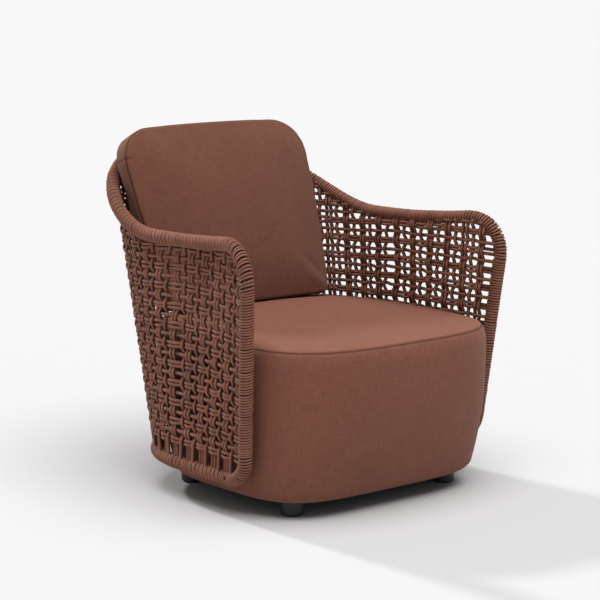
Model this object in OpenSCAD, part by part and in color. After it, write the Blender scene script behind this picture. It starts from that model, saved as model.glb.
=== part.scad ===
// Tub armchair: a tube frame wrapped and woven with cord around an upholstered drum seat,
// with a loose boxed back cushion. The origin is on the floor under the middle of the chair,
// -Y is the sitter's front and +Z is up.

/* [Woven shell] */
// Half width of the arm rim at its waist
arm_half_w = 328; // [300:1:400]
// Half width of the arm rim at the front corners
arm_front_half_w = 371; // [330:1:440]
// Distance from the middle of the chair to the front corners of the rim
rim_front = 310; // [270:1:360]
// Distance from the middle of the chair to the rim behind the back
rim_back = 398; // [340:1:470]
// Place along the depth where the rim starts to turn round the back
rim_turn_y = 12; // [-40:1:60]
// Squareness of the rim's turn seen from above
rim_power = 3.15; // [2.4:0.05:4]
// Height of the rim's centreline on the arms
arm_h = 574; // [500:1:680]
// How much higher the rim is behind the back than on the arms
back_rise = 158; // [60:1:200]
// How much the arms lift towards their front corners
front_lift = 28; // [0:1:50]
// Radius of the rim's top front corners
top_corner_r = 104; // [60:1:130]
// Radius of the rim's lower front corners
low_corner_r = 54; // [35:1:70]
// Half width of the lower rail
low_half_w = 334; // [310:1:400]
// Distance from the middle of the chair to the front corners of the lower rail
low_front = 254; // [220:1:300]
// Distance from the middle of the chair to the lower rail at the back
low_back = 234; // [200:1:300]
// Squareness of the lower rail's turn seen from above
low_power = 2.44; // [2.2:0.02:3.2]
// Height of the lower rail's centreline
low_h = 83; // [75:1:120]

/* [Tube and cord] */
// Diameter of the bent tube
tube_d = 20; // [16:1:22]
// Wall of the bent tube
tube_wall = 2; // [1:0.5:3]
// Diameter of the wrapping and weaving cord
cord_d = 5.8; // [4:0.1:7]

/* [Seat drum] */
// Half width of the drum at its seam
drum_half_w = 320; // [270:1:324]
// Distance from the middle of the chair to the front of the drum at its seam
drum_front = 414; // [340:1:440]
// Distance from the middle of the chair to the back of the drum at its seam
drum_back = 265; // [200:1:280]
// Height of the seam round the drum
seam_h = 366; // [300:1:420]
// Height of the crown of the seat above the seam
crown_h = 14; // [8:1:40]
// How much narrower the drum is at the bottom, each side
side_taper = 18; // [0:1:40]
// How much further back the drum's front is at the bottom
front_taper = 56; // [0:1:90]
// How much further forward the drum's back is at the bottom
back_taper = 85; // [60:1:110]
// Thickness of the fabric
fabric_t = 1.5; // [0.8:0.1:3]
// Thickness of the padding round the drum at the bottom
side_pad = 24; // [14:1:34]

/* [Seat structure] */
// Thickness of the plywood hoop and boards
ply_t = 15; // [9:1:21]
// Height of the hoop
hoop_h = 190; // [120:1:210]
// Width of each webbing strap
strap_w = 60; // [40:1:70]

/* [Feet] */
// Diameter of a foot
foot_d = 50; // [30:1:80]
// Height of a foot under the drum
foot_h = 35; // [28:1:60]
// Distance of the feet from the middle, to each side
foot_x = 222; // [150:1:235]
// Distance of the front feet from the middle
foot_front = 272; // [200:1:285]
// Distance of the rear feet from the middle
foot_back = 95; // [60:1:105]

/* [Back cushion] */
// Width of the cushion along its top
cushion_top_w = 540; // [420:1:560]
// Width of the cushion along its bottom
cushion_low_w = 478; // [380:1:500]
// Height of the cushion along its lean
cushion_h = 444; // [330:1:460]
// Thickness of the cushion at its gusset
gusset_t = 66; // [35:1:72]
// How far the front face swells
cushion_swell = 30; // [12:1:40]
// Radius of the cushion's top corners
cushion_r = 92; // [60:1:120]
// Lean of the cushion from upright, in degrees
cushion_lean = 21.5; // [17:0.5:24]
// Depth of the cushion's place, from the foot of its front seam to the woven back
cushion_depth = 222.1; // [211:0.1:251]

/* [Hidden] */
gap = 0.3;                         // room between neighbours that only touch
wrap_r = tube_d / 2 + cord_d;      // outside of the cord wound on the tube
side_share = 0.34;                 // share of each half rail that is the straight arm
tube_sides = 8;
wrap_sides = 10;
ring_n = 56;                       // points round the drum's plan
weave_t = 1.5 * cord_d;            // the two crossed layers of cord, pressed together
weave_rows = 6;
corner_pull = 0.56;                // how far the rails' corner curves reach for the sharp corner
rope = "#8a5647";
fabric = "#7a4c3e";
dark = "#241c1a";

// Small vector helpers
function unit(v) = v / norm(v);
function mix(a, b, t) = a * (1 - t) + b * t;
function clamp01(t) = min(1, max(0, t));
function mirrored(pts) = [for (p = pts) [-p.x, p.y, p.z]];
function backwards(list) = [for (i = [len(list) - 1 : -1 : 0]) list[i]];
function flat(lists) = [for (l = lists) each l];

// Half a rail seen from above: t = 0 at its front end, 1 at the middle of the back
function rail_plan(t, half, front_half, front_y, turn_y, back_y, power) =
    t < side_share
    ? let (s = t / side_share)
        [-mix(half, front_half, pow(1 - s, 2)), mix(front_y, turn_y, s)]
    : let (q = 90 * (t - side_share) / (1 - side_share))
        [-half * pow(cos(q), 2 / power), turn_y + (back_y - turn_y) * pow(sin(q), 2 / power)];

rise_start = rim_turn_y + 71;      // the rim starts to climb just behind the arms
lift_end = rim_turn_y + 38;        // and the arms lift in front of this line
low_turn_y = rim_turn_y - 56;

function rim_at(t) =
    let (p = rail_plan(t, arm_half_w, arm_front_half_w, -rim_front, rim_turn_y, rim_back, rim_power))
    let (climb = clamp01((p.y - rise_start) / (rim_back - rise_start)))
    let (lift = clamp01((lift_end - p.y) / (lift_end + rim_front)))
    [p.x, p.y, arm_h + back_rise * pow(climb, 1.84) + front_lift * pow(lift, 2)];

function low_at(t) =
    let (p = rail_plan(t, low_half_w, low_half_w + 2, -low_front, low_turn_y, low_back, low_power))
    [p.x, p.y, low_h];

// Rounded corner between two directions from a corner point, as a cubic curve
function corner(from, at, to, n) =
    let (c1 = mix(from, at, corner_pull), c2 = mix(to, at, corner_pull))
    [for (i = [0 : n]) let (t = i / n)
        from * pow(1 - t, 3) + c1 * 3 * t * pow(1 - t, 2) + c2 * 3 * t * t * (1 - t) + to * pow(t, 3)];

top_corner = rim_at(0);
low_corner = low_at(0);
upright_dir = unit(low_corner - top_corner);
t_top = side_share * top_corner_r / (rim_turn_y + rim_front);
t_low = side_share * low_corner_r / (low_turn_y + low_front);
upright_top = top_corner + upright_dir * top_corner_r;
upright_low = low_corner - upright_dir * low_corner_r;

// Centrelines of the wrapped stretches, left side first
low_bend = backwards(corner(upright_low, low_corner, low_at(t_low), 5));
upright_line = [for (i = [0 : 4]) mix(upright_low, upright_top, i / 4)];
top_bend = backwards(corner(rim_at(t_top), top_corner, upright_top, 6));
arm_steps = 10;
back_steps = 14;
arm_end_t = 0.56;                  // share of each half rim that belongs to the arm
arm_line = [for (i = [0 : arm_steps]) rim_at(mix(t_top, arm_end_t, i / arm_steps))];
back_line = [for (i = [0 : back_steps]) rim_at(mix(arm_end_t, 1, i / back_steps))];
low_steps = 22;
low_line = [for (i = [0 : low_steps]) low_at(mix(t_low, 1, i / low_steps))];

function tail(list) = [for (i = [1 : 1 : len(list) - 1]) list[i]];
function closed_over(left) = concat(left, tail(backwards(mirrored(left))));

// The whole loop: up the left upright, round the rim, down the right and back along the floor side
rim_path = closed_over(concat(low_bend, tail(upright_line), tail(top_bend), tail(arm_line), tail(back_line)));
low_path = backwards(closed_over(low_line));
loop_path = concat(rim_path, [for (i = [1 : len(low_path) - 2]) low_path[i]]);
loop_n = len(loop_path);

// Where one stretch of the loop ends and the next begins, counted along it
upright_end = len(low_bend) + len(upright_line) - 2;
arm_end = upright_end + len(top_bend) + len(arm_line) - 2;
rim_end = len(rim_path) - 1;

// Rings of a swept tube. The side vector points out of the shell, so it never meets the path
function outward(p) = unit([p.x, max(0, p.y - rim_turn_y), 0]);
function loop_at(i) = loop_path[i % loop_n];
function tangent(i) = unit(loop_at(i + 1) - loop_at(i + loop_n - 1));
function ring_at(p, t, r, sides) =
    let (o = outward(p), side = unit(o - (o * t) * t), up = cross(t, side))
    [for (k = [0 : sides - 1]) p + r * (cos(360 * k / sides) * side + sin(360 * k / sides) * up)];
// Rings from one place on the loop to another, stopping just short of both ends
function rings(from, to, r, sides) =
    [for (i = [from : to])
        let (t = tangent(i), trim = i == from ? gap / 2 : i == to ? -gap / 2 : 0)
        ring_at(loop_at(i) + t * trim, t, r, sides)];

// Faces of lofted solids. Rings all have the same number of points
function wall_faces(rows, n, first, flip) =
    [for (i = [0 : rows - 2], k = [0 : n - 1])
        let (a = first + i * n + k, b = first + i * n + (k + 1) % n, c = b + n, d = a + n)
        each flip ? [[a, b, c], [a, c, d]] : [[a, c, b], [a, d, c]]];
function cap_face(row, n, first, flip) =
    let (ids = [for (k = [0 : n - 1]) first + row * n + k]) flip ? backwards(ids) : ids;
function rim_faces(n, first_a, first_b, flip) =
    [for (k = [0 : n - 1])
        let (a = first_a + k, b = first_a + (k + 1) % n, c = first_b + (k + 1) % n, d = first_b + k)
        each flip ? [[a, b, c], [a, c, d]] : [[a, c, b], [a, d, c]]];

// A closed solid through a stack of rings
module loft(stack) {
    n = len(stack[0]);
    rows = len(stack);
    faces = concat(wall_faces(rows, n, 0, true), [cap_face(0, n, 0, true)], [cap_face(rows - 1, n, 0, false)]);
    polyhedron(flat(stack), faces, convexity = 6);
}

// A pipe-like wall between two stacks, open at both ends
module loft_wall(outer, inner) {
    n = len(outer[0]);
    rows = len(outer);
    m = n * rows;
    faces = concat(
        wall_faces(rows, n, 0, true), wall_faces(rows, n, m, false),
        rim_faces(n, 0, m, false), rim_faces(n, (rows - 1) * n, m + (rows - 1) * n, true));
    polyhedron(flat(concat(outer, inner)), faces, convexity = 6);
}

// A bowl-like skin between two stacks, closed at the last ring
module loft_bowl(outer, inner) {
    n = len(outer[0]);
    rows = len(outer);
    m = n * rows;
    faces = concat(
        wall_faces(rows, n, 0, true), wall_faces(rows, n, m, false), rim_faces(n, 0, m, false),
        [cap_face(rows - 1, n, 0, false)], [cap_face(rows - 1, n, m, true)]);
    polyhedron(flat(concat(outer, inner)), faces, convexity = 6);
}

module bent_tube(from, to) {
    loft_wall(rings(from, to, tube_d / 2, tube_sides), rings(from, to, tube_d / 2 - tube_wall, tube_sides));
}

// The wound cord as a sleeve that hugs the tube
sleeve_r = (tube_d / 2 + gap) / cos(180 / wrap_sides);
module wrap_sleeve(from, to) {
    color(rope) loft_wall(rings(from, to, wrap_r, wrap_sides), rings(from, to, sleeve_r, wrap_sides));
}

module rim_tube() { color("silver") bent_tube(0, rim_end); }

module lower_rail_tube() {
    color("silver")
    difference() {
        bent_tube(rim_end, loop_n);
        shell_bolt_bores(bolt_r);
    }
}

// Plugs inside the tube ends that join the rim to the lower rail
spigot_l = 30;
spigot_r = (tube_d / 2 - tube_wall) * cos(180 / tube_sides) - gap;
module rail_spigots() {
    end = low_at(t_low);
    color("gray")
    for (s = [-1, 1])
        scale([s, 1, 1])
        translate([-abs(end.x), end.y, end.z])
        rotate([-90, 0, 0])
        translate([0, 0, gap]) cylinder(h = spigot_l, r = spigot_r, $fn = 32);
}

module left_upright_wrap() { wrap_sleeve(0, upright_end); }
module left_arm_wrap() { wrap_sleeve(upright_end, arm_end); }
module back_rim_wrap() { wrap_sleeve(arm_end, rim_end - arm_end); }
module right_arm_wrap() { wrap_sleeve(rim_end - arm_end, rim_end - upright_end); }
module right_upright_wrap() { wrap_sleeve(rim_end - upright_end, rim_end); }

module lower_rail_wrap() {
    color(rope)
    difference() {
        wrap_sleeve(rim_end, loop_n);
        shell_bolt_bores(spacer_r);
    }
}

// The woven surface runs straight from the inside of the rim to the outside of the lower rail
weave_in_top = 10;
weave_out_low = 2;
weave_edge = 1.6 * wrap_r - 4.98;   // room between the rails' middles and the panels' edges
function drop(d, r) = d < r ? r - sqrt(r * r - pow(r - d, 2)) : 0;
function weave_column(t) =
    let (a = rim_at(t), b = low_at(t), line = b - a, len_ab = norm(line), dir = line / len_ab)
    let (e = 0.004, along = mix(rim_at(t + e), low_at(t + e), 0.5) - mix(rim_at(t - e), low_at(t - e), 0.5))
    let (out = unit(cross(along, dir)))
    let (d_top = norm([a.x, a.y] - [top_corner.x, top_corner.y]) - weave_edge)
    let (d_low = norm([b.x, b.y] - [low_corner.x, low_corner.y]) - weave_edge)
    let (v0 = (weave_edge + drop(max(0, d_top), top_corner_r - weave_edge)) / len_ab)
    let (v1 = 1 - (weave_edge + drop(max(0, d_low), low_corner_r - weave_edge)) / len_ab)
    [for (side = [1, -1], i = [0 : weave_rows])
        let (v = mix(v0, v1, (side > 0 ? i : weave_rows - i) / weave_rows))
        a + line * v + out * (side * weave_t / 2 - mix(weave_in_top, -weave_out_low, v))];
weave_front_t = side_share * (weave_edge + 2) / (low_turn_y + low_front);
corner_steps = [0, 0.12, 0.3, 0.55, 0.8, 1];
corner_end_t = 0.14;
weave_split = 0.0005;              // half the gap between two woven panels
module left_weave() {
    front = [for (s = corner_steps) weave_column(mix(weave_front_t, corner_end_t, s))];
    rear = [for (i = [1 : 10]) weave_column(mix(corner_end_t, arm_end_t - weave_split, i / 10))];
    color(rope) loft(concat(front, rear));
}
module right_weave() { mirror([1, 0, 0]) left_weave(); }
module back_weave() {
    half = [for (i = [0 : 12]) weave_column(mix(arm_end_t + weave_split, 0.996, i / 12))];
    other = [for (ring = backwards(half)) [for (p = ring) [-p.x, p.y, p.z]]];
    color(rope) loft(concat(half, other));
}

// Plan of the drum at height z, moved in by inset: a squarish front and a rounder back
drum_mid_y = -142;
drum_low_mid_y = -64;
drum_span = seam_h - foot_h;
back_power = 2.7;                  // squareness of the plan behind the middle
crown_in = 0.92;                   // share of the half width that the crown takes to level out
function front_power(f) = mix(4.6, 3.35, f);
function spread(z) = 1 - pow(1 - clamp01((z - foot_h) / drum_span), 2.2);
function drum_ring(z, inset, at_z) =
    let (f = spread(at_z), mid = mix(drum_low_mid_y, drum_mid_y, f))
    let (w = drum_half_w - side_taper * (1 - f) - inset)
    let (fr = drum_front - front_taper * (1 - f) + mid - inset, bk = drum_back - back_taper * (1 - f) - mid - inset)
    [for (k = [0 : ring_n - 1])
        let (c = cos(360 * k / ring_n), s = sin(360 * k / ring_n), p = s < 0 ? front_power(f) : back_power)
        [w * sign(c) * pow(abs(c), 2 / p), mid + (s < 0 ? fr : bk) * sign(s) * pow(abs(s), 2 / p), z]];
function plan_of(ring) = [for (p = ring) [p.x, p.y]];
module drum_slab(z0, h, inset, at_z) {
    translate([0, 0, z0]) linear_extrude(h) polygon(plan_of(drum_ring(0, inset, at_z)));
}

// Heights of the layers inside the drum, from the board up, and how far in they start
hem_w = 34;
edge_r = 22;
board_z = foot_h + fabric_t + 1.5;
board_in = edge_r - 4;
hoop_z = board_z + ply_t;
hoop_in = side_pad + 1;
hoop_t = 0.8 * ply_t;
frame_z = hoop_z + hoop_h;
frame_in = hoop_in;
frame_w = 60;
web_t = 2;
web_z = frame_z + ply_t;
foam_z = web_z + 2 * web_t + gap;

// Heights at which every layer of the drum's side has a ring, so that the layers stay parallel
side_levels = concat(
    [for (i = [0 : 2]) mix(foot_h + edge_r, foam_z, i / 3)], [for (i = [0 : 2]) mix(foam_z, seam_h, i / 2)]);

// Side of the drum, as [height, inset] from the hem under the board up to the seam
function side_profile(skin) = concat(
    [[foot_h + skin, edge_r + hem_w]],
    [for (q = [90 : -22.5 : 0])
        [foot_h + edge_r - (edge_r - skin) * sin(q), skin + (edge_r - skin) * (1 - cos(q))]],
    [for (z = tail(side_levels)) [min(z, seam_h - gap / 2), skin]]);
module side_cover() {
    color(fabric)
    difference() {
        loft_wall(
            [for (p = side_profile(0)) drum_ring(p[0], p[1], p[0])],
            [for (p = side_profile(fabric_t)) drum_ring(p[0], p[1], p[0])]);
        shell_bolt_bores(bore_r);
        at_feet() translate([0, 0, foot_h - 1]) cylinder(h = 4, r = foot_bolt_r + 1, $fn = 32);
    }
}

// The seat swells from the seam in an even crown
crown_steps = [0, 18, 36, 52, 68, 80];
function crown_profile(skin) =
    [for (q = crown_steps)
        [seam_h + (crown_h - skin) * sin(q), skin + (1 - cos(q)) * (drum_half_w - skin) * crown_in]];
module seat_cover() {
    color(fabric)
    loft_bowl(
        [for (p = crown_profile(0)) drum_ring(p[0] + gap / 2, p[1], seam_h)],
        [for (p = crown_profile(fabric_t)) drum_ring(p[0] + gap / 2, p[1], seam_h)]);
}

module seat_foam() {
    skin = fabric_t + gap;
    color("beige")
    loft(concat(
        [for (i = [3 : 5]) drum_ring(side_levels[i], skin, side_levels[i])],
        [for (p = crown_profile(skin)) if (p[0] > seam_h + 1) drum_ring(p[0], p[1], seam_h)]));
}

// Padding between the hoop and the cover
module side_padding() {
    skin = fabric_t + gap;
    top = foam_z - gap;
    heights = [for (i = [0 : 3]) min(side_levels[i], top)];
    color("beige")
    difference() {
        loft_wall([for (z = heights) drum_ring(z, skin, z)], [for (z = heights) drum_ring(z, hoop_in - gap, hoop_z)]);
        shell_bolt_bores(bore_r);
    }
}

// The board has a hatch in its middle
hatch_w = 140;
hatch_l = 160;
hatch_y = -110;
module base_board() {
    color("tan")
    difference() {
        drum_slab(board_z, ply_t, board_in + 4, foot_h + 4);
        at_feet() translate([0, 0, board_z - 1]) cylinder(h = ply_t + 2, r = nut_r, $fn = 32);
        translate([-hatch_w / 2, hatch_y, board_z - 1]) cube([hatch_w, hatch_l, ply_t + 2]);
    }
}

module side_hoop() {
    color("tan")
    difference() {
        drum_slab(hoop_z, hoop_h, hoop_in, hoop_z);
        drum_slab(hoop_z - 1, hoop_h + 2, hoop_in + hoop_t, hoop_z);
        shell_bolt_bores(bore_r);
    }
}

module top_frame() {
    color("tan")
    difference() {
        drum_slab(frame_z, ply_t, frame_in, hoop_z);
        drum_slab(frame_z - 1, ply_t + 2, frame_in + frame_w, hoop_z);
    }
}

// Rail on edge across the drum, under the webbing
cross_rail_y = -60;
module cross_rail() {
    reach = abs(low_wall_x(cross_rail_y)) - 14;
    color("tan")
    translate([-reach, cross_rail_y - ply_t / 2, hoop_z + gap])
    cube([2 * reach, ply_t, hoop_h - 2 * gap]);
}

// Inner face of the hoop on the left, at a given depth
function low_wall_x(y) =
    max([for (p = drum_ring(0, hoop_in + hoop_t, hoop_z)) if (p.x < 0 && abs(p.y - y) < 60) p.x]);

// Elastic straps across, then along, tacked to the top of the frame
strap_ys = [for (i = [-2 : 1]) -100 + i * 95];
strap_xs = [for (i = [-1 : 1]) i * 120];
strap_reach_x = drum_half_w - side_taper - frame_in - 34;
strap_front = drum_front - front_taper - frame_in - 22;
strap_rear = drum_back - back_taper - frame_in - 22;
module cross_webbing() {
    color(dark)
    for (y = strap_ys)
        translate([-strap_reach_x, y, web_z]) cube([2 * strap_reach_x, strap_w, web_t]);
}
module long_webbing() {
    color(dark)
    for (x = strap_xs)
        translate([x - strap_w / 2, -strap_front, web_z + web_t]) cube([strap_w, strap_front + strap_rear, web_t]);
}

module bottom_cloth() {
    color(dark)
    difference() {
        drum_slab(foot_h - 0.9, 0.6, edge_r + 8, foot_h);
        at_feet() translate([0, 0, foot_h - 2]) cylinder(h = 3, r = foot_d / 2 + 1, $fn = 48);
    }
}

// The shell is bolted to the hoop through short spacers on the lower rail
bolt_ys = [-150, 20];
spacer_r = 9;
bolt_r = 3;
bore_r = bolt_r + 0.5;             // where the bolt passes through cover, padding and hoop
function low_x_at(y) =
    let (q = (y - low_turn_y) / (low_back - low_turn_y))
    y < low_turn_y ? low_half_w : low_half_w * pow(1 - pow(q, low_power), 1 / low_power);
function drum_x_at(y, inset, z) =
    let (f = spread(z), mid = mix(drum_low_mid_y, drum_mid_y, f), w = drum_half_w - side_taper * (1 - f) - inset)
    let (reach = y < mid ? drum_front - front_taper * (1 - f) + mid - inset
                         : drum_back - back_taper * (1 - f) - mid - inset)
    let (p = y < mid ? front_power(f) : back_power)
    w * pow(1 - pow(abs(y - mid) / reach, p), 1 / p);

module on_bolt_lines() {
    for (s = [-1, 1], y = bolt_ys)
        translate([s * low_x_at(y), y, low_h])
        rotate([0, -90 * s, 0])
        children();
}
// Local +Z runs inwards from the lower rail's centre
module shell_bolt_bores(r) {
    on_bolt_lines() cylinder(h = 90, r = r, $fn = 32);
}
module shell_spacers() {
    color("gray")
    for (s = [-1, 1], y = bolt_ys) {
        start = tube_d / 2 + 1.5;
        length = low_x_at(y) - drum_x_at(y, 0, low_h) - start - 2;
        translate([s * low_x_at(y), y, low_h])
        rotate([0, -90 * s, 0])
        translate([0, 0, start])
        difference() {
            cylinder(h = length, r = spacer_r - 0.5, $fn = 48);
            translate([0, 0, -1]) cylinder(h = length + 2, r = bolt_r + 0.2, $fn = 32);
        }
    }
}
module shell_bolts() {
    color("gray")
    for (s = [-1, 1], y = bolt_ys) {
        inner = low_x_at(y) - drum_x_at(y, hoop_in + hoop_t, hoop_z) + 3;
        translate([s * low_x_at(y), y, low_h])
        rotate([0, -90 * s, 0]) {
            translate([0, 0, 1]) cylinder(h = inner - 1, r = bolt_r - 0.1, $fn = 32);
            translate([0, 0, inner]) cylinder(h = 4, r = bolt_head_r, $fn = 32);
        }
    }
}

// Feet: a chamfered turned block on a bolt that screws into a nut in the board
glide_r = foot_d / 2 - 6;
nut_r = 9;
foot_bolt_r = 4;
bolt_head_r = 7;
foot_places = [[-foot_x, -foot_front], [foot_x, -foot_front], [-foot_x + 8, foot_back], [foot_x - 8, foot_back]];
module at_feet() {
    for (p = foot_places) translate([p.x, p.y, 0]) children();
}
module foot(i) {
    r = foot_d / 2;
    top = foot_h - gap;
    color(dark)
    translate([foot_places[i].x, foot_places[i].y, 0])
    difference() {
        rotate_extrude($fn = 64)
        polygon([[0, 1.5], [r - 3, 1.5], [r, 4.5], [r, top], [0, top]]);
        translate([0, 0, -1]) cylinder(h = 5, r = glide_r + 0.2, $fn = 64);
        translate([0, 0, -1]) cylinder(h = foot_h + 2, r = foot_bolt_r + 0.2, $fn = 32);
        translate([0, 0, 3]) cylinder(h = 8, r = bolt_head_r + 1, $fn = 32);
    }
}
module front_left_foot() { foot(0); }
module front_right_foot() { foot(1); }
module rear_left_foot() { foot(2); }
module rear_right_foot() { foot(3); }

module foot_bolts() {
    color("gray")
    at_feet() {
        translate([0, 0, 5.5]) cylinder(h = 5.3, r = bolt_head_r, $fn = 32);
        translate([0, 0, 10]) cylinder(h = board_z + ply_t - 12, r = foot_bolt_r, $fn = 32);
    }
}
module foot_nuts() {
    color("gray")
    at_feet()
    translate([0, 0, board_z + 2])
    difference() {
        cylinder(h = ply_t - 2, r = nut_r - 0.2, $fn = 32);
        translate([0, 0, -1]) cylinder(h = ply_t + 2, r = foot_bolt_r + 0.1, $fn = 32);
    }
}
module foot_glides() {
    color("black")
    at_feet() cylinder(h = 3.8, r = glide_r, $fn = 64);
}

// The cushion's own axes: X across, Y from its front seam to its back, Z up along its lean
cushion_low_r = 24;
cushion_z = seam_h + crown_h;
cushion_back_in = 4;
face_in = cushion_low_w / 2 - 30;  // how far in from the seam each face levels out
back_face_share = 0.88;            // and the back face's share of that
// Depth of the woven back behind the middle of the chair at a height
function back_at(z) =
    mix(rim_back, low_back, (arm_h + back_rise - z) / (arm_h + back_rise - low_h));
cushion_y = back_at(cushion_z + 200) - cushion_depth;
function arc(cx, cz, r, from, to, n) =
    [for (i = [0 : n]) let (q = mix(from, to, i / n)) [cx + r * cos(q), cz + r * sin(q)]];
// Height of the seat's crown at a place behind the middle of the drum
function seat_top(x, y) =
    let (reach = drum_back - drum_mid_y, back = max(0, y - drum_mid_y) / reach)
    let (out = pow(pow(abs(x) / drum_half_w, back_power) + pow(back, back_power), 1 / back_power))
    let (c = clamp01(1 - (1 - min(1, out)) * reach / (drum_half_w * crown_in)))
    seam_h + crown_h * sqrt(1 - c * c);

// Lowest height of the cushion in its own axes, so that it lies on the seat
rest_gap = 1.5;
function sole(x, y) =
    (seat_top(x, cushion_y + y / cos(cushion_lean)) + rest_gap - cushion_z) / cos(cushion_lean)
    + y * tan(cushion_lean);

// How far to each side the cushion can reach at a place before it meets the shell
shell_room = wrap_r + 15;
shell_lines = [for (i = [0 : 20]) let (t = mix(side_share, 0.98, i / 20)) [rim_at(t), low_at(t)]];
function room_at(y, z) =
    let (beside = [for (l = shell_lines) mix(l[0], l[1], clamp01((l[0].z - z) / (l[0].z - l[1].z)))])
    let (x = lookup(y, [for (p = beside) [p.y, -p.x]]))
    let (above = z - lookup(y, [for (p = beside) [p.y, p.z]]))
    x - shell_room + 0.6 * max(0, above);

// Shares of the cushion's width and height at points up its side
side_steps = [[0.35, 0.3], [0.68, 0.55], [0.84, 0.66], [0.94, 0.73]];

// Outline of a slice of the cushion, moved in by inset and held in by the shell
function cushion_ring(y, inset) =
    let (wt = cushion_top_w / 2 - inset, wl = cushion_low_w / 2 - inset, h = cushion_h - inset)
    let (r = max(12, cushion_r - inset), rl = max(8, cushion_low_r - inset * 0.3))
    let (b = sole(wl - rl, y) + inset)
    let (right = concat(
        [for (s = [0, 0.35, 0.7]) [s * (wl - rl), sole(s * (wl - rl), y) + inset]],
        arc(wl - rl, b + rl, rl, -90, 0, 3),
        [for (p = side_steps) [mix(wl, wt, p[0]), mix(b, h, p[1])]],
        arc(wt - r, h - r, r, 0, 90, 7)))
    let (left = [for (p = backwards(tail(right))) [-p[0], p[1]]])
    [for (p = concat(right, left))
        let (place_y = cushion_y + y * cos(cushion_lean) + p[1] * sin(cushion_lean))
        let (place_z = cushion_z - y * sin(cushion_lean) + p[1] * cos(cushion_lean))
        [sign(p[0]) * min(abs(p[0]), room_at(place_y, place_z) - inset), y, p[1]]];
function back_slice(y, inset, share) = cushion_ring(y, inset + cushion_back_in * share);
module in_cushion_place() {
    translate([0, cushion_y, cushion_z]) rotate([-cushion_lean, 0, 0]) children();
}
function swell_profile(skin, swell) =
    [for (q = [0, 22, 45, 65, 80]) [(swell - skin) * sin(q), skin + (1 - cos(q)) * face_in]];
back_swell = cushion_swell * 0.8;
function front_rings(skin) = [for (p = swell_profile(skin, cushion_swell)) cushion_ring(-p[0] - gap / 2, p[1])];
function back_rings(skin) =
    [for (p = swell_profile(skin, back_swell))
        back_slice(gusset_t + p[0] + gap / 2, p[1] * back_face_share, 1)];
module cushion_front_panel() {
    color(fabric) in_cushion_place() loft_bowl(backwards_rings(front_rings(0)), backwards_rings(front_rings(fabric_t)));
}
// Reversing each ring turns the skin's faces round, for a bowl that opens the other way
function backwards_rings(stack) = [for (ring = stack) backwards(ring)];
module cushion_back_panel() {
    color(fabric) in_cushion_place() loft_bowl(back_rings(0), back_rings(fabric_t));
}
module cushion_gusset() {
    steps = [0, 0.35, 0.7, 1];
    color(fabric) in_cushion_place()
    difference() {
        loft_wall(
            [for (s = steps) back_slice(mix(gap / 2, gusset_t - gap / 2, s), 0, pow(s, 1.6))],
            [for (s = steps) back_slice(mix(gap / 2, gusset_t - gap / 2, s), fabric_t, pow(s, 1.6))]);
        zip_slot();
    }
}
module cushion_core() {
    skin = fabric_t + 2 * gap;
    steps = [0, 0.35, 0.7, 1];
    color("beige") in_cushion_place()
    difference() {
        loft(concat(
            backwards(front_core_rings(skin)),
            [for (s = steps) back_slice(gusset_t * s, skin, pow(s, 1.6))],
            back_core_rings(skin)));
        zip_slot();
    }
}
function front_core_rings(skin) =
    [for (p = swell_profile(skin, cushion_swell)) if (p[0] > 0.5) cushion_ring(-p[0], p[1])];
function back_core_rings(skin) =
    [for (p = swell_profile(skin, back_swell)) if (p[0] > 0.5)
        back_slice(gusset_t + p[0], p[1] * back_face_share + 1.2, 1)];
// The zip lies level under the cushion, along the middle of the gusset
zip_l = 300;
zip_w = 9;
zip_y = gusset_t / 2;
module level_strip(length, width, height, lift) {
    translate([0, zip_y, sole(0, zip_y)])
    rotate([cushion_lean, 0, 0])
    translate([-length / 2, -width / 2, lift]) cube([length, width, height]);
}
module zip_slot() { level_strip(zip_l + 1, zip_w + 1, 12, -9); }
module cushion_zip() {
    color(dark) in_cushion_place() level_strip(zip_l, zip_w, 1.2, 0.2);
}

rim_tube();
lower_rail_tube();
rail_spigots();
left_upright_wrap();
left_arm_wrap();
back_rim_wrap();
right_arm_wrap();
right_upright_wrap();
lower_rail_wrap();
left_weave();
back_weave();
right_weave();
base_board();
side_hoop();
top_frame();
cross_rail();
cross_webbing();
long_webbing();
seat_foam();
side_padding();
side_cover();
seat_cover();
bottom_cloth();
shell_spacers();
shell_bolts();
front_left_foot();
front_right_foot();
rear_left_foot();
rear_right_foot();
foot_bolts();
foot_nuts();
foot_glides();
cushion_core();
cushion_front_panel();
cushion_gusset();
cushion_back_panel();
cushion_zip();
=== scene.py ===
import bpy
import math
import numpy as np
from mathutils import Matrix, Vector
from mathutils.kdtree import KDTree


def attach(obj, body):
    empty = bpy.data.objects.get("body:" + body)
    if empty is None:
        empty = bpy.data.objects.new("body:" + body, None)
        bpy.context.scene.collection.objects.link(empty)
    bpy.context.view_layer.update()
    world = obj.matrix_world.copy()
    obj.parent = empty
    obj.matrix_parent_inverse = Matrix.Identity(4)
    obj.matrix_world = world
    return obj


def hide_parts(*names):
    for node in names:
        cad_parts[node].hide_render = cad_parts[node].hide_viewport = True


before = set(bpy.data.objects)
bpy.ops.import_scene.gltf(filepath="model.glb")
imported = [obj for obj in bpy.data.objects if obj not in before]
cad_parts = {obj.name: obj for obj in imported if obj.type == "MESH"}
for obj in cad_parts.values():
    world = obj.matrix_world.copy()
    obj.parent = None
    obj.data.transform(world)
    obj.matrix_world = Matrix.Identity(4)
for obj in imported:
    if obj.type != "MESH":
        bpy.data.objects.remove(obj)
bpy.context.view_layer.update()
scene = bpy.context.scene
rng = np.random.default_rng(7)

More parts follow.
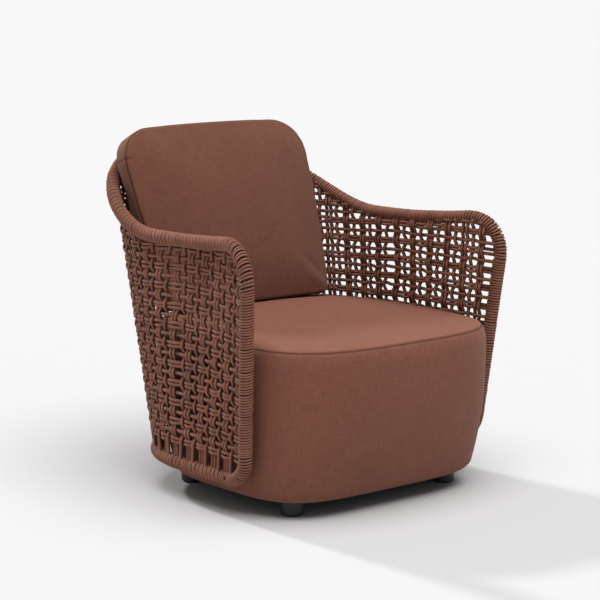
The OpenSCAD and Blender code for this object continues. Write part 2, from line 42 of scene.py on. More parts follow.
# the camera stands a little above the arms, off the left front corner
camera = {"turn": -39.59, "lift": 10.32, "distance": 4.69615, "aim": (0, -0.010, 0.350),
          "lens": 124.0, "shiftX": 0.0094, "shiftY": 0.0414}


def addCamera():
    turn, lift = math.radians(camera["turn"]), math.radians(camera["lift"])
    back = Vector((math.sin(turn) * math.cos(lift), -math.cos(turn) * math.cos(lift), math.sin(lift)))
    data = bpy.data.cameras.new("chairCamera")
    data.lens, data.sensor_width = camera["lens"], 36
    data.shift_x, data.shift_y = camera["shiftX"], camera["shiftY"]
    obj = bpy.data.objects.new("chairCamera", data)
    scene.collection.objects.link(obj)
    obj.location = Vector(camera["aim"]) + back * camera["distance"]
    obj.rotation_mode = "QUATERNION"
    obj.rotation_quaternion = (-back).to_track_quat("-Z", "Y")
    scene.camera = obj


addCamera()
print("camera placed")


def mix(a, b, t):
    return a * (1 - t) + b * t


def clamp01(t):
    return min(1.0, max(0.0, t))


def unit(v):
    return v / np.linalg.norm(v)


def unitRows(v):
    return v / np.maximum(np.linalg.norm(v, axis=1), 1e-12)[:, None]


def onlySelect(obj):
    bpy.ops.object.select_all(action="DESELECT")
    obj.select_set(True)
    bpy.context.view_layer.objects.active = obj


def applyModifier(obj, kind, **settings):
    onlySelect(obj)
    mod = obj.modifiers.new(kind.lower(), kind)
    for key, value in settings.items():
        setattr(mod, key, value)
    bpy.ops.object.modifier_apply(modifier=mod.name)


def meshPiece(name, points, faces, uvs=None):
    mesh = bpy.data.meshes.new(name)
    mesh.from_pydata(points.tolist() if isinstance(points, np.ndarray) else points, [], faces)
    if uvs is not None:
        mesh.uv_layers.new(name="weaveUV").data.foreach_set("uv", np.asarray(uvs, np.float32).ravel())
    obj = bpy.data.objects.new(name, mesh)
    scene.collection.objects.link(obj)
    mesh.polygons.foreach_set("use_smooth", [True] * len(mesh.polygons))
    return obj


def coords(mesh):
    co = np.zeros(len(mesh.vertices) * 3, np.float32)
    mesh.vertices.foreach_get("co", co)
    return co.reshape(-1, 3).astype(float)


def setCoords(mesh, co):
    mesh.vertices.foreach_set("co", co.astype(np.float32).ravel())
    mesh.update()


def evenly(points, count=None, step=None):
    along = np.concatenate([[0], np.cumsum(np.linalg.norm(np.diff(points, axis=0), axis=1))])
    count = count or max(2, int(round(along[-1] / step)) + 1)
    at = np.linspace(0, along[-1], count)
    return np.stack([np.interp(at, along, points[:, k]) for k in range(3)], axis=1)


def treeOf(points):
    tree = KDTree(len(points))
    for i, p in enumerate(points):
        tree.insert(p, i)
    tree.balance()
    return tree


class Wire:  # one socket that maths can be written with
    def __init__(self, finish, socket):
        self.finish, self.socket = finish, socket

    def __add__(self, other):
        return self.finish.maths("ADD", self, other)

    def __sub__(self, other):
        return self.finish.maths("SUBTRACT", self, other)

    def __mul__(self, other):
        return self.finish.maths("MULTIPLY", self, other)

    def __radd__(self, other):
        return self.finish.maths("ADD", other, self)

    def __rsub__(self, other):
        return self.finish.maths("SUBTRACT", other, self)

    def __rmul__(self, other):
        return self.finish.maths("MULTIPLY", other, self)


class Finish:
    def __init__(self, name):
        self.material = bpy.data.materials.new(name)
        self.material.use_nodes = True
        self.tree = self.material.node_tree
        self.shader = next(n for n in self.tree.nodes if n.type == "BSDF_PRINCIPLED")

    def feed(self, socket, value):
        if isinstance(value, Wire):
            self.tree.links.new(value.socket, socket)
        else:
            socket.default_value = value

    def add(self, kind, settings=None, sockets=None, out=0):
        node = self.tree.nodes.new("ShaderNode" + kind)
        for key, value in (settings or {}).items():
            setattr(node, key, value)
        for key, value in (sockets or {}).items():
            self.feed(node.inputs[key], value)
        return Wire(self, node.outputs[out])

    def maths(self, operation, *values):
        return self.add("Math", {"operation": operation}, dict(enumerate(values)))

    def sine(self, value):
        return self.maths("SINE", value)

    def blend(self, factor, a, b):  # a colour mix
        return self.add("Mix", {"data_type": "RGBA"}, {0: factor, 6: a, 7: b}, out=2)

    def noise(self, vector, scale, detail=2.0):
        return self.add("TexNoise", None, {"Vector": vector, "Scale": scale, "Detail": detail})

    def place(self):
        return self.add("TexCoord", out=3)

    def surface(self, name="weaveUV"):
        uv = self.add("UVMap", {"uv_map": name})
        parts = self.tree.nodes.new("ShaderNodeSeparateXYZ")
        self.feed(parts.inputs[0], uv)
        return Wire(self, parts.outputs[0]), Wire(self, parts.outputs[1])

    def vector(self, x, y, z=0.0):
        return self.add("CombineXYZ", None, {0: x, 1: y, 2: z})

    def within(self, value):  # held between 0 and 1
        return self.maths("MINIMUM", self.maths("MAXIMUM", value, 0.0), 1.0)

    def bump(self, height, strength, distance):
        made = self.add("Bump", None, {"Height": height, "Strength": strength, "Distance": distance})
        self.feed(self.shader.inputs["Normal"], made)

    def set(self, **sockets):
        for key, value in sockets.items():
            self.feed(self.shader.inputs[key.replace("_", " ")], value)
        return self.material


def srgb(r, g, b):
    line = [c / 255 for c in (r, g, b)]
    return tuple(c / 12.92 if c <= 0.04045 else ((c + 0.055) / 1.055) ** 2.4 for c in line) + (1.0,)


# the seat and cushion tones are one cloth in two copies: the seat's is a little lighter and the cushion's darker,
# which is painted light and shade for how the light falls on each
colours = {"seatLight": (137, 88, 71), "seatDark": (105, 65, 51),
           "cushionLight": (121, 78, 62), "cushionDark": (92, 57, 45), "seam": (52, 30, 23),
           "cord": (160, 104, 83), "cordDark": (104, 66, 52), "cordCrease": (46, 28, 22)}


def wovenFabric(name, light, dark, pitch=0.0013):
    f = Finish(name)
    u, v = f.surface()
    a, b = f.sine(u * (math.pi / pitch)), f.sine(v * (math.pi / pitch))
    over = f.within(f.maths("MULTIPLY_ADD", a * b, 1.6, 0.5))
    height = f.maths("ABSOLUTE", a) * over + f.maths("ABSOLUTE", b) * (1 - over)
    across = f.noise(f.vector(u * 30.0, v * 700.0), 1.0, 3.0)  # slubs along the weft
    along = f.noise(f.vector(u * 700.0, v * 30.0), 1.0, 3.0)
    cloud = f.noise(f.place(), 5.0, 3.0)
    seam = f.add("Attribute", {"attribute_name": "seamShade"}, out=2)
    tone = f.maths("MULTIPLY_ADD", across + along, 1.3, -0.8)
    # the weave's raised yarns are painted lighter and the hollows between them darker, which is painted shade; the
    # slubs and cloud are the cloth's own tone
    tone = f.within(tone + (cloud - 0.5) * 0.4 + (height - 0.5) * 0.35)
    colour = f.blend(tone, srgb(*colours[dark]), srgb(*colours[light]))
    colour = f.blend(seam, colour, srgb(*colours["seam"]))
    f.bump(height * 0.6 + (across + along) * 0.7, 0.35, 0.0006)
    return f.set(Base_Color=colour, Roughness=0.94, Sheen_Weight=0.08, Sheen_Roughness=0.5,
                 Specular_IOR_Level=0.15)


def braidedCord(name):
    f = Finish(name)
    u, v = f.surface()
    turn, braidPitch = 2 * math.pi, 0.0050
    one = f.sine(u * (turn / braidPitch) + v * (turn * 4))
    two = f.sine(u * (turn / braidPitch) - v * (turn * 4))
    braid = one * two
    speck = f.noise(f.vector(u * 300.0, v * 6.0), 1.0, 2.0)
    cloud = f.noise(f.place(), 22.0, 2.0)
    # the braid's raised strands are painted lighter and the dips between them darker, which is painted shade; the
    # specks and cloud are the cord's own tone
    tone = f.within(f.maths("MULTIPLY_ADD", braid, 0.16, 0.5) + (speck - 0.5) * 0.5 + (cloud - 0.5) * 0.9)
    colour = f.blend(tone, srgb(*colours["cordDark"]), srgb(*colours["cord"]))
    # shade gathers between the turns
    flank = f.maths("POWER", f.maths("ABSOLUTE", f.maths("COSINE", v * turn)), 4.0)
    colour = f.blend(flank * 0.85, colour, srgb(*colours["cordCrease"]))
    f.bump(braid * 0.5 + speck * 0.4, 0.5, 0.0006)
    return f.set(Base_Color=colour, Roughness=0.7, Specular_IOR_Level=0.3)


def grained(name, dark, light, scale, stretch, roughness, metallic=0.0, bump=0.3):
    f = Finish(name)
    scaled = f.add("Mapping", None, {"Vector": f.place(), "Scale": stretch})
    grain = f.noise(scaled, scale, 5.0)
    fine = f.noise(f.place(), scale * 6, 2.0)
    tone = f.within(f.maths("MULTIPLY_ADD", grain - 0.5, 1.6, 0.5) + (fine - 0.5) * 0.4)
    f.bump(grain * 0.6 + fine * 0.4, bump, 0.0006)
    rough = f.maths("MULTIPLY_ADD", grain - 0.5, 0.25, roughness)
    return f.set(Base_Color=f.blend(tone, srgb(*dark), srgb(*light)), Roughness=rough, Metallic=metallic)


# lit and shaded copies of one upholstery cloth: the cushion copy is darker, which is painted shade
seatFabric = wovenFabric("seatUpholstery", "seatLight", "seatDark")
cushionShadedFabric = wovenFabric("cushionUpholsteryShaded", "cushionLight", "cushionDark")
rope = braidedCord("braidedRope")
coatedSteel = grained("coatedSteel", (42, 27, 22), (66, 44, 36), 240, (1, 1, 1), 0.5)
plywood = grained("birchPlywood", (168, 128, 84), (214, 180, 132), 9, (1, 1, 18), 0.6)
zincSteel = grained("zincSteel", (128, 130, 132), (186, 188, 190), 120, (1, 1, 5), 0.34, metallic=1.0)
footPlastic = grained("footPlastic", (20, 18, 18), (44, 40, 39), 900, (1, 1, 1), 0.42, bump=0.4)
glideFelt = grained("glideFelt", (12, 12, 12), (38, 36, 35), 1400, (1, 1, 1), 0.9, bump=0.8)
straps = grained("elasticStraps", (22, 20, 19), (70, 62, 56), 30, (60, 60, 60), 0.85, bump=0.8)
dustCloth = grained("dustCloth", (16, 15, 15), (44, 42, 40), 500, (1, 1, 1), 0.95, bump=0.9)
zipTape = grained("zipTape", (40, 24, 19), (78, 50, 40), 700, (0.05, 1, 1), 0.7, bump=0.9)
print("materials made")

shell = {"armHalfW": 0.328, "armFrontHalfW": 0.371, "rimFront": 0.310, "rimBack": 0.398, "rimTurnY": 0.012,
         "rimPower": 3.15, "armH": 0.574, "backRise": 0.158, "frontLift": 0.028, "topCornerR": 0.104,
         "lowCornerR": 0.054, "lowHalfW": 0.334, "lowFront": 0.254, "lowBack": 0.234, "lowPower": 2.44,
         "lowH": 0.083, "lowTurnY": -0.044, "sideShare": 0.34, "armEnd": 0.56, "cornerPull": 0.56,
         "tubeR": 0.010, "insideRim": 0.010, "outsideRail": 0.002}


def railPlan(t, half, frontHalf, frontY, turnY, backY, power):
    share = shell["sideShare"]
    if t < share:
        s = t / share
        return -mix(half, frontHalf, (1 - s) ** 2), mix(frontY, turnY, s)
    q = math.pi / 2 * (t - share) / (1 - share)
    return (-half * max(0.0, math.cos(q)) ** (2 / power),
            turnY + (backY - turnY) * math.sin(q) ** (2 / power))


def rimAt(t):
    if t > 1:
        return rimAt(2 - t) * np.array([-1, 1, 1])
    k = shell
    x, y = railPlan(t, k["armHalfW"], k["armFrontHalfW"], -k["rimFront"], k["rimTurnY"],
                    k["rimBack"], k["rimPower"])
    riseStart, liftEnd = k["rimTurnY"] + 0.071, k["rimTurnY"] + 0.038
    climb = clamp01((y - riseStart) / (k["rimBack"] - riseStart))
    lift = clamp01((liftEnd - y) / (liftEnd + k["rimFront"]))
    return np.array([x, y, k["armH"] + k["backRise"] * climb ** 1.84 + k["frontLift"] * lift ** 2])


def lowAt(t):
    if t > 1:
        return lowAt(2 - t) * np.array([-1, 1, 1])
    k = shell
    x, y = railPlan(t, k["lowHalfW"], k["lowHalfW"] + 0.002, -k["lowFront"], k["lowTurnY"],
                    k["lowBack"], k["lowPower"])
    return np.array([x, y, k["lowH"]])


def cornerCurve(start, at, end, n):
    t = np.linspace(0, 1, n)[:, None]
    one, two = mix(start, at, shell["cornerPull"]), mix(end, at, shell["cornerPull"])
    return start * (1 - t) ** 3 + 3 * one * t * (1 - t) ** 2 + 3 * two * t * t * (1 - t) + end * t ** 3


def loopStretches():
    k = shell
    topCorner, lowCorner = rimAt(0), lowAt(0)
    down = unit(lowCorner - topCorner)
    tTop = k["sideShare"] * k["topCornerR"] / (k["rimTurnY"] + k["rimFront"])
    tLow = k["sideShare"] * k["lowCornerR"] / (k["lowTurnY"] + k["lowFront"])
    high, low = topCorner + down * k["topCornerR"], lowCorner - down * k["lowCornerR"]
    lowBend = cornerCurve(low, lowCorner, lowAt(tLow), 24)[::-1]
    upright = np.linspace(low, high, 24)
    topBend = cornerCurve(rimAt(tTop), topCorner, high, 40)[::-1]
    arm = np.array([rimAt(t) for t in np.linspace(tTop, k["armEnd"], 90)])
    back = np.array([rimAt(t) for t in np.linspace(k["armEnd"], 1, 120)])
    rail = np.array([lowAt(t) for t in np.linspace(tLow, 1, 160)])
    flip = np.array([-1, 1, 1])

    def other(line):
        return line[::-1] * flip
    left = [np.vstack([lowBend, upright[1:]]), np.vstack([topBend, arm[1:]])]
    return {"left_upright_wrap": left[0], "left_arm_wrap": left[1],
            "back_rim_wrap": np.vstack([back, other(back)[1:]]),
            "right_arm_wrap": other(left[1]), "right_upright_wrap": other(left[0]),
            "lower_rail_wrap": np.vstack([rail, other(rail)[1:]])[::-1]}


stretches = loopStretches()
loopLine = np.vstack([evenly(line, step=0.004) for line in stretches.values()])
loopTree = treeOf(loopLine)


def cordPiece(name, strands, sides):
    points, faces, uvs, first = [], [], [], 0
    angle = np.linspace(0, 2 * math.pi, sides, endpoint=False)
    for path, out, radius, oval in strands:
        n = len(path)
        tangent = unitRows(np.gradient(path, axis=0))
        normal = unitRows(out - (out * tangent).sum(1)[:, None] * tangent)
        side = np.cross(tangent, normal)
        thick = np.broadcast_to(radius, (n,))[:, None, None]
        ring = path[:, None, :] + thick * (np.cos(angle)[None, :, None] * side[:, None, :]
                                           + oval * np.sin(angle)[None, :, None] * normal[:, None, :])
        points.append(ring.reshape(-1, 3))
        along = np.concatenate([[0], np.cumsum(np.linalg.norm(np.diff(path, axis=0), axis=1))])
        i, k = np.meshgrid(np.arange(n - 1), np.arange(sides), indexing="ij")
        i, k = i.ravel(), k.ravel()
        a, b = first + i * sides + k, first + i * sides + (k + 1) % sides
        faces += np.stack([a, a + sides, b + sides, b], 1).tolist()
        v0, v1 = k / sides, (k + 1) / sides
        corners = [along[i], v0, along[i + 1], v0, along[i + 1], v1, along[i], v1]
        uvs.append(np.stack(corners, 1).reshape(-1, 2))
        faces.append([first + s for s in range(sides)])
        faces.append([first + (n - 1) * sides + s for s in range(sides - 1, -1, -1)])
        caps = np.stack([np.cos(angle), np.sin(angle)], 1) * 0.002
        uvs += [caps, caps[::-1] + [along[-1], 0]]
        first += n * sides
    return meshPiece(name, np.vstack(points), faces, np.vstack(uvs))


winding = {"cordR": 0.0029, "oval": 0.94, "sunk": 0.97, "steps": 16, "sides": 7,
           "loose": 0.0004, "wobble": 0.00022,
           "single": {"pitch": 0.0059, "gapEvery": 8, "gap": 0.0016, "slant": 0.0011},
           "pairs": {"pitch": 0.0054, "gapEvery": 2, "gap": 0.0029, "slant": 0.0034}}


def turnLengths(total, style):
    ends, k = [0.0], 0
    while ends[-1] < total:
        k += 1
        extra = style["gap"] * rng.uniform(0.7, 1.2) if k % style["gapEvery"] == 0 else 0.0
        ends.append(ends[-1] + style["pitch"] + rng.normal(0, winding["loose"]) + extra)
    return np.array(ends)


def wound(name, line):
    style = winding["single" if "upright" in name else "pairs"]
    line = evenly(line, step=0.002)
    tangent = unitRows(np.gradient(line, axis=0))
    out = line * [1, 1, 0]
    out[:, 1] = np.maximum(0, out[:, 1] - shell["rimTurnY"])
    side = unitRows(out - (out * tangent).sum(1)[:, None] * tangent)
    up = np.cross(tangent, side)
    along = np.linspace(0, np.linalg.norm(np.diff(line, axis=0), axis=1).sum(), len(line))
    ends = turnLengths(along[-1], style)
    turn = np.linspace(0, len(ends) - 1, (len(ends) - 1) * winding["steps"] + 1)
    at = np.interp(turn, np.arange(len(ends)), ends)
    at = at[at < along[-1]]
    phase = np.interp(at, ends, np.arange(len(ends))) * 2 * math.pi
    radius = shell["tubeR"] + winding["cordR"] * winding["sunk"]
    wobble = np.interp(at, ends, rng.normal(0, winding["wobble"], len(ends)))

    def along3(values):
        return np.stack([np.interp(at, along, values[:, k]) for k in range(3)], 1)
    slant = style["slant"] * np.sin(phase)[:, None]  # each turn leans a little
    radial = np.cos(phase)[:, None] * along3(side) + np.sin(phase)[:, None] * along3(up)
    path = along3(line) + radial * (radius + wobble)[:, None] + along3(tangent) * slant
    return cordPiece(name, [(path, radial, winding["cordR"], winding["oval"])], winding["sides"])


for node, line in stretches.items():
    piece = wound(node.replace("_wrap", "_winding"), line)
    piece.data.materials.append(rope)
    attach(piece, "chair")
    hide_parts(node)
print("rail windings wound")

weave = {"rowPitch": 0.0425, "rowStart": 0.0085, "doubleCols": 16, "topFirst": 0.054, "lowFirst": 0.0224,
         "rowR": 0.0042, "columnR": 0.0046, "oval": 0.84, "rowPairHalf": 0.0043, "columnPairHalf": 0.0053,
         "step": 0.0042, "sides": 7, "lift": 0.0037, "wander": 0.0010, "sag": 0.0016, "cutNear": 0.0075,
         "turnBefore": 0.06}


def shellPoint(t, v):
    a, b = rimAt(t), lowAt(t)
    e = 0.004
    along = (rimAt(t + e) + lowAt(t + e)) / 2 - (rimAt(max(0, t - e)) + lowAt(max(0, t - e))) / 2
    out = unit(np.cross(along, b - a))
    return a + (b - a) * v - out * mix(shell["insideRim"], -shell["outsideRail"], v), out


gridT, gridV = np.linspace(0, 2, 401), np.linspace(0, 1, 41)
gridPoint = np.array([[shellPoint(t, v)[0] for v in gridV] for t in gridT])
gridOut = np.array([shellPoint(t, 0.5)[1] for t in gridT])
gridHeight = np.array([np.linalg.norm(rimAt(t) - lowAt(t)) for t in gridT])


def onShell(t, v):
    x, y = np.interp(t, gridT, np.arange(len(gridT))), np.clip(v, 0, 1) * (len(gridV) - 1)
    i, j = np.minimum(x.astype(int), len(gridT) - 2), np.minimum(y.astype(int), len(gridV) - 2)
    fx, fy = (x - i)[:, None], (y - j)[:, None]
    g = gridPoint
    point = mix(mix(g[i, j], g[i + 1, j], fx), mix(g[i, j + 1], g[i + 1, j + 1], fx), fy)
    return point, unitRows(mix(gridOut[i], gridOut[i + 1], fx))


def arcOf(line):
    return np.concatenate([[0], np.cumsum(np.linalg.norm(np.diff(line, axis=0), axis=1))])


halfT = np.linspace(0, 1, 600)
rimArc, lowArc = arcOf(np.array([rimAt(t) for t in halfT])), arcOf(np.array([lowAt(t) for t in halfT]))


def columnEnds(first, pitch, arc):  # spaced along the rail, up to the middle of the back
    ends = np.concatenate([[first], first + np.cumsum(pitch)])
    ends = first + (ends - first) * (arc[-1] - first) / (ends[-1] - first)
    return np.interp(ends, arc, halfT)


nth, last = np.arange(weave["doubleCols"]), weave["doubleCols"]
topPitch = np.interp(nth, [0, 4, 8, last], [0.047, 0.058, 0.061, 0.058])
lowPitch = np.interp(nth, [0, 8, last], [0.0465, 0.045, 0.040])
doubleTop = columnEnds(weave["topFirst"], topPitch, rimArc)
doubleLow = columnEnds(weave["lowFirst"], lowPitch, lowArc)
doubleTop = np.concatenate([doubleTop, 2 - doubleTop[-2::-1]])
doubleLow = np.concatenate([doubleLow, 2 - doubleLow[-2::-1]])
columns = []  # each is top t, low t, and whether it is a pair of cords
for i in range(len(doubleTop)):
    columns.append((doubleTop[i], doubleLow[i], True))
    if i + 1 < len(doubleTop):
        columns.append(((doubleTop[i] + doubleTop[i + 1]) / 2, (doubleLow[i] + doubleLow[i + 1]) / 2, False))
columnTop, columnLow = np.array([c[0] for c in columns]), np.array([c[1] for c in columns])
rowCount = int((gridHeight.max() - weave["rowStart"]) / weave["rowPitch"] * 2) + 1
rows = [(weave["rowStart"] + weave["rowPitch"] * k / 2, k % 2 == 0) for k in range(2, rowCount)]


def smoothSteps(x, places, values):  # eased between the crossings
    i = np.clip(np.searchsorted(places, x) - 1, 0, len(places) - 2)
    f = np.clip((x - places[i]) / np.maximum(places[i + 1] - places[i], 1e-9), 0, 1)
    f = f * f * (3 - 2 * f)
    return mix(values[i], values[i + 1], f)


def bendDepth(t, radius, railAt):  # how far the rounded corner hides the panel's edge here
    away = np.interp(np.minimum(t, 2 - t), halfT, np.linalg.norm(
        np.array([railAt(q) - railAt(0) for q in halfT])[:, :2], axis=1))
    short = np.clip(radius - away, 0, radius)
    return radius - np.sqrt(radius ** 2 - short ** 2)


def insideLoop(t, v):
    tall = np.interp(t, gridT, gridHeight)
    return ((v * tall > bendDepth(t, shell["topCornerR"], rimAt))
            & ((1 - v) * tall > bendDepth(t, shell["lowCornerR"], lowAt)))


def sideways(point, out):
    tangent = unitRows(np.gradient(point, axis=0))
    return np.cross(out, tangent)


def keptRuns(point, ok):
    near = np.array([loopTree.find(p)[2] for p in point])
    ok = ok & (near > weave["cutNear"])
    runs, start = [], None
    for i, good in enumerate(np.append(ok, False)):
        if good and start is None:
            start = i
        if not good and start is not None:
            if i - start > 6:
                runs.append(slice(start, i))
            start = None
    return runs


def cutStrands(point, out, ok, radius):
    strands = []
    for run in keptRuns(point, ok):
        path = evenly(point[run], step=weave["step"])
        share, before = np.linspace(0, 1, len(path)), np.linspace(0, 1, run.stop - run.start)
        outs = np.stack([np.interp(share, before, out[run, k]) for k in range(3)], 1)
        strands.append((path, outs, radius, weave["oval"]))
    return strands


def rowStrands(height, isPair):
    t = np.linspace(0, 2, 480)
    tall = np.interp(t, gridT, gridHeight)
    strands = []
    for offset in ((-1, 1) if isPair else (0,)):
        v = 1 - height / tall
        point, out = onShell(t, v)
        crossing = mix(columnTop, columnLow, 0.55)  # a first guess, then the height is put right
        vHere = np.interp(crossing, t, np.clip(v, 0, 1))
        crossing = mix(columnTop, columnLow, vHere)
        overs = np.array([(1 if c[2] == isPair else -1) for c in columns], float) * weave["lift"]
        overs = overs * rng.uniform(0.85, 1.15, len(overs))
        lift = smoothSteps(t, crossing, overs)
        drift = smoothSteps(t, crossing, rng.normal(0, weave["wander"], len(crossing)))
        squeeze = smoothSteps(t, crossing, np.where(overs > 0, 1.0, 0.86))
        up = sideways(point, out)
        shift = drift + offset * weave["rowPairHalf"] * squeeze
        point = point + out * lift[:, None] + up * shift[:, None]
        strands += cutStrands(point, out, insideLoop(t, v), weave["rowR"])
    return strands


def columnStrands(index):
    top, low, isPair = columns[index]
    v = np.linspace(0, 1, 160)
    strands = []
    for offset in ((-1, 1) if isPair else (0,)):
        t = mix(top, low, v)
        tall = np.interp(t, gridT, gridHeight)
        point, out = onShell(t, v)
        height = tall * (1 - v)
        heights = np.array([h for h, _ in rows])
        overs = np.array([(-1 if r[1] == isPair else 1) for r in rows], float) * weave["lift"]
        overs = overs * rng.uniform(0.85, 1.15, len(overs))
        lift = smoothSteps(height, heights, overs)
        drift = smoothSteps(height, heights, rng.normal(0, weave["wander"], len(heights)))
        swerve = (0.0 if isPair else weave["sag"]) * np.where(np.arange(len(heights)) % 4 < 2, 1.0, -1.0)
        drift = drift + smoothSteps(height, heights, swerve)
        across = sideways(point, out)
        squeeze = smoothSteps(height, heights, np.where(overs > 0, 1.0, 0.9))
        shift = drift + offset * weave["columnPairHalf"] * squeeze
        point = point + out * lift[:, None] + across * shift[:, None]
        strands += cutStrands(point, out, insideLoop(t, v), weave["columnR"])
    return strands


def panelAt(t):
    return "left" if t < shell["armEnd"] else "right" if t > 2 - shell["armEnd"] else "back"


def splitAt(strand, cuts):
    path, out, radius, oval = strand
    pieces = {}
    zone = np.where(path[:, 0] < 0, -1, 1) * (path[:, 1] < cuts)
    names = {-1: "left", 0: "back", 1: "right"}
    start = 0
    for i in range(1, len(path) + 1):
        if i == len(path) or zone[i] != zone[start]:
            stop = min(len(path), i + 1)
            if stop - start > 2:
                part = (path[start:stop], out[start:stop], radius, oval)
                pieces.setdefault(names[int(zone[start])], []).append(part)
            start = i
    return pieces


turnLine = rimAt(shell["armEnd"])[1] - weave["turnBefore"]
for kind in ("rows", "uprights"):
    groups = {"left": [], "back": [], "right": []}
    if kind == "rows":
        for height, isPair in rows:
            for strand in rowStrands(height, isPair):
                for name, parts in splitAt(strand, turnLine).items():
                    groups[name] += parts
    else:
        for index in range(len(columns)):
            name = panelAt(columns[index][0])
            groups[name] += columnStrands(index)
    for name, strands in groups.items():
        piece = cordPiece(name + "_weave_" + kind, strands, weave["sides"])
        piece.data.materials.append(rope)
        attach(piece, "chair")
        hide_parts(name + "_weave")
        print(name, kind, len(strands), "strands", len(piece.data.polygons), "faces")
print("sides and back woven")

drum = {"halfW": 0.320, "front": 0.414, "back": 0.265, "seamH": 0.366, "crownH": 0.014, "sideTaper": 0.018,
        "frontTaper": 0.056, "backTaper": 0.085, "footH": 0.035, "edgeR": 0.022, "hemW": 0.034,
        "midY": -0.142, "lowMidY": -0.064, "frontPower": 3.35, "frontLowPower": 4.6, "backPower": 2.7, "crownIn": 0.92,
        "crownPower": 2.7, "shoulder": 0.0060, "shoulderH": 0.034, "padIn": 0.0247, "foamZ": 0.2623,
        "skin": 0.0016, "points": 260, "voxel": 0.0056, "heldRise": 0.0055, "pressure": 1.6, "cap": 0.006}


def drumRing(z, inset, atZ):
    k = drum
    f = 1 - (1 - clamp01((atZ - k["footH"]) / (k["seamH"] - k["footH"]))) ** 2.2
    mid = mix(k["lowMidY"], k["midY"], f)
    w = k["halfW"] - k["sideTaper"] * (1 - f) - inset
    fr = k["front"] - k["frontTaper"] * (1 - f) + mid - inset
    bk = k["back"] - k["backTaper"] * (1 - f) - mid - inset
    a = np.linspace(0, 2 * math.pi, 1441) + math.pi / 2
    c, s = np.cos(a), np.sin(a)
    p = np.where(s < 0, mix(k["frontLowPower"], k["frontPower"], f), k["backPower"])
    x = w * np.sign(c) * np.abs(c) ** (2 / p)
    y = mid + np.where(s < 0, fr, bk) * np.sign(s) * np.abs(s) ** (2 / p)
    line = np.stack([x, y, np.full_like(x, z)], 1)
    return evenly(line, count=k["points"] + 1)[:-1]


def ringStack(name, rings, closed, capped=False):
    n = len(rings[0])
    points = np.vstack(rings)
    count = len(rings)
    faces, uvs = [], []
    around = arcOf(np.vstack([rings[count // 2], rings[count // 2][:1]]))
    spaces = [np.linalg.norm(b - a, axis=1).mean() for a, b in zip(rings, rings[1:])]
    along = np.concatenate([[0], np.cumsum(spaces)])
    for i in range(count if closed else count - 1):
        j = (i + 1) % count
        for k in range(n):
            m = (k + 1) % n
            faces.append([i * n + k, i * n + m, j * n + m, j * n + k])
            top = along[i] + 0.01 if j == 0 else along[j]
            uvs += [(around[k], along[i]), (around[k + 1], along[i]), (around[k + 1], top), (around[k], top)]
    if capped:
        for i, turn in ((0, -1), (count - 1, 1)):
            ring = list(range(n))[::turn]
            faces.append([i * n + k for k in ring])
            uvs += [(points[i * n + k][0], points[i * n + k][1]) for k in ring]
    return meshPiece(name, points, faces, uvs)


def fixNormals(obj):
    onlySelect(obj)
    bpy.ops.object.mode_set(mode="EDIT")
    bpy.ops.mesh.select_all(action="SELECT")
    bpy.ops.mesh.normals_make_consistent(inside=False)
    bpy.ops.object.mode_set(mode="OBJECT")


def seamShade(obj, values):
    layer = obj.data.attributes.new("seamShade", "FLOAT", "POINT")
    layer.data.foreach_set("value", np.asarray(values, np.float32))


def shoulderIn(depth):  # the side leans in under its seam
    return drum["shoulder"] * max(0.0, 1 - depth / drum["shoulderH"]) ** 2


def crownRise(share):  # height of the crown, where share is 1 at the seam and 0 where it is level
    return drum["crownH"] * (1 - share ** drum["crownPower"]) ** (1 / drum["crownPower"])


def drumSide():
    k, skin = drum, drum["skin"]
    outer = [(k["seamH"] - 0.0002 - d, 0.0020 * math.exp(-(d / 0.0026) ** 1.3) + shoulderIn(d)) for d in
             (0, 0.001, 0.002, 0.0035, 0.005, 0.0075, 0.011, 0.016, 0.022, 0.028)]
    outer += [(z, 0.0) for z in np.linspace(k["seamH"] - k["shoulderH"], k["footH"] + k["edgeR"], 26)]
    for q in np.linspace(0, math.pi / 2, 9)[1:]:
        outer.append((k["footH"] + k["edgeR"] * (1 - math.sin(q)), k["edgeR"] * (1 - math.cos(q))))
    outer.append((k["footH"], k["edgeR"] + k["hemW"]))
    inner = [(k["footH"] + skin, k["edgeR"] + k["hemW"]), (k["footH"] + skin, k["padIn"] + 0.004),
             (0.053, k["padIn"]), (k["foamZ"] - 0.002, k["padIn"]), (k["foamZ"], skin),
             (k["seamH"] - k["shoulderH"], skin), (k["seamH"] - 0.0002, k["shoulder"] + 0.0036)]
    rings = [drumRing(z, inset, min(z, k["seamH"])) for z, inset in outer + inner]
    obj = ringStack("drum_side_cover", rings, True)
    fixNormals(obj)
    co = coords(obj.data)
    depth = k["seamH"] - co[:, 2]
    n = len(rings[0])
    pulls = rng.normal(0, 1, n // 2 + 1)
    pucker = np.tile(np.interp(np.arange(n), np.arange(0, n + 1, 2.0), pulls), len(rings))
    fall = np.exp(-(depth - 0.011) ** 2 / 0.007 ** 2)
    out = unitRows(np.stack([co[:, 0], co[:, 1] - k["midY"], np.zeros(len(co))], 1))
    # the cloth is a little fuller half way down, with faint pulls under the seam
    belly = 0.0022 * np.sin(np.clip((co[:, 2] - 0.06) / 0.29, 0, 1) * math.pi)
    outside = np.arange(len(co)) < len(outer) * n
    co = co + out * ((0.00035 * pucker * fall + belly) * outside)[:, None]
    setCoords(obj.data, co)
    seamShade(obj, 0.7 * np.exp(-(depth / 0.0012) ** 2) * (depth > -0.001))
    return obj


